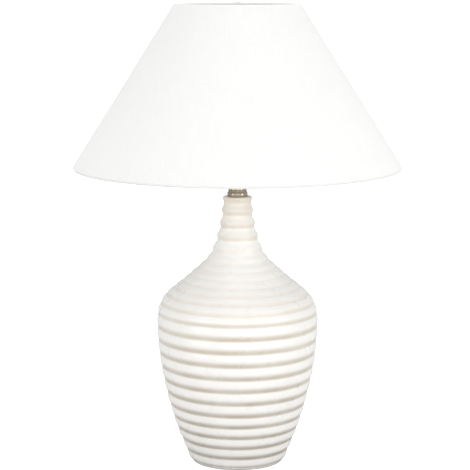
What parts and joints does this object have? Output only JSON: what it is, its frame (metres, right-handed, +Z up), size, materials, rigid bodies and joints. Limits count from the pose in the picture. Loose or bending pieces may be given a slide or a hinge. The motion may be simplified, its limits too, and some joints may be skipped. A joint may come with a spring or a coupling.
{
  "type": "table lamp",
  "caption": "Table lamp with a ribbed bottle-shaped ceramic body, a push-through switched lampholder, a bulb and a wide conical fabric shade on a wire carrier.",
  "frame": {"origin": "middle of the foot, on the surface that the lamp stands on", "axes": "+Z up along the lamp's axis, -Y to the front, +Y to the back where the cord bush is, +X along the switch bar"},
  "size_m": [0.45, 0.45, 0.6317],
  "materials": {
    "glazed_body": "cream-white gloss glaze, a little darker in the grooves",
    "felt": "pressed wool felt",
    "zinc_steel": "zinc plated",
    "nickel": "warm polished nickel",
    "brass": "plain sheet brass",
    "white_phenolic": "moulded white phenolic",
    "black_plastic": "moulded black",
    "white_plastic": "moulded white",
    "white_enamel": "white powder coat on steel wire",
    "linen": "off-white linen weave on a stiff white backing",
    "opal_glass": "opal white",
    "black_glass": "black glass insulator"
  },
  "bodies": {
    "lamp_base": {"base_felt": "felt", "ceramic_body": "glazed_body", "cord_bush": "white_plastic", "clamp_plate": "zinc_steel", "lock_washer": "zinc_steel", "bottom_nut": "zinc_steel", "threaded_rod": "zinc_steel", "mouth_washer": "zinc_steel", "mouth_nut": "zinc_steel", "neck_cap": "nickel", "holder_cup": "nickel", "grub_screw": "zinc_steel", "switch_leaf": "brass", "contact_block": "white_phenolic", "terminal_screw_live": "brass", "terminal_screw_neutral": "brass", "centre_contact": "brass", "shell_contact": "brass", "screw_shell": "brass", "holder_sleeve": "white_phenolic"},
    "shade": {"fitter_ring": "white_enamel", "fitter_arm_1": "white_enamel", "fitter_arm_2": "white_enamel", "fitter_arm_3": "white_enamel", "shade_top_wire": "white_enamel", "shade_bottom_wire": "white_enamel", "shade_panel": "linen"},
    "retainer": {"retaining_ring": "white_phenolic"},
    "bulb": {"bulb_glass": "opal_glass", "bulb_cap": "nickel", "bulb_insulator": "black_glass", "bulb_tip": "zinc_steel"},
    "switch": {"switch_bar": "black_plastic"}
  },
  "joints": [
    {"name": "shade_turn", "type": "hinge", "parent": "lamp_base", "child": "shade", "pos_m": [0, 0, 0.4275], "axis": [0, 0, 1], "continuous": true},
    {"name": "retaining_ring_turn", "type": "hinge", "parent": "lamp_base", "child": "retainer", "pos_m": [0, 0, 0.4318], "axis": [0, 0, 1], "continuous": true},
    {"name": "bulb_turn", "type": "hinge", "parent": "lamp_base", "child": "bulb", "pos_m": [0, 0, 0.4315], "axis": [0, 0, 1], "continuous": true},
    {"name": "switch_push", "type": "slide", "parent": "lamp_base", "child": "switch", "axis": [1, 0, 0], "range_m": [-0.003, 0.003]}
  ]
}
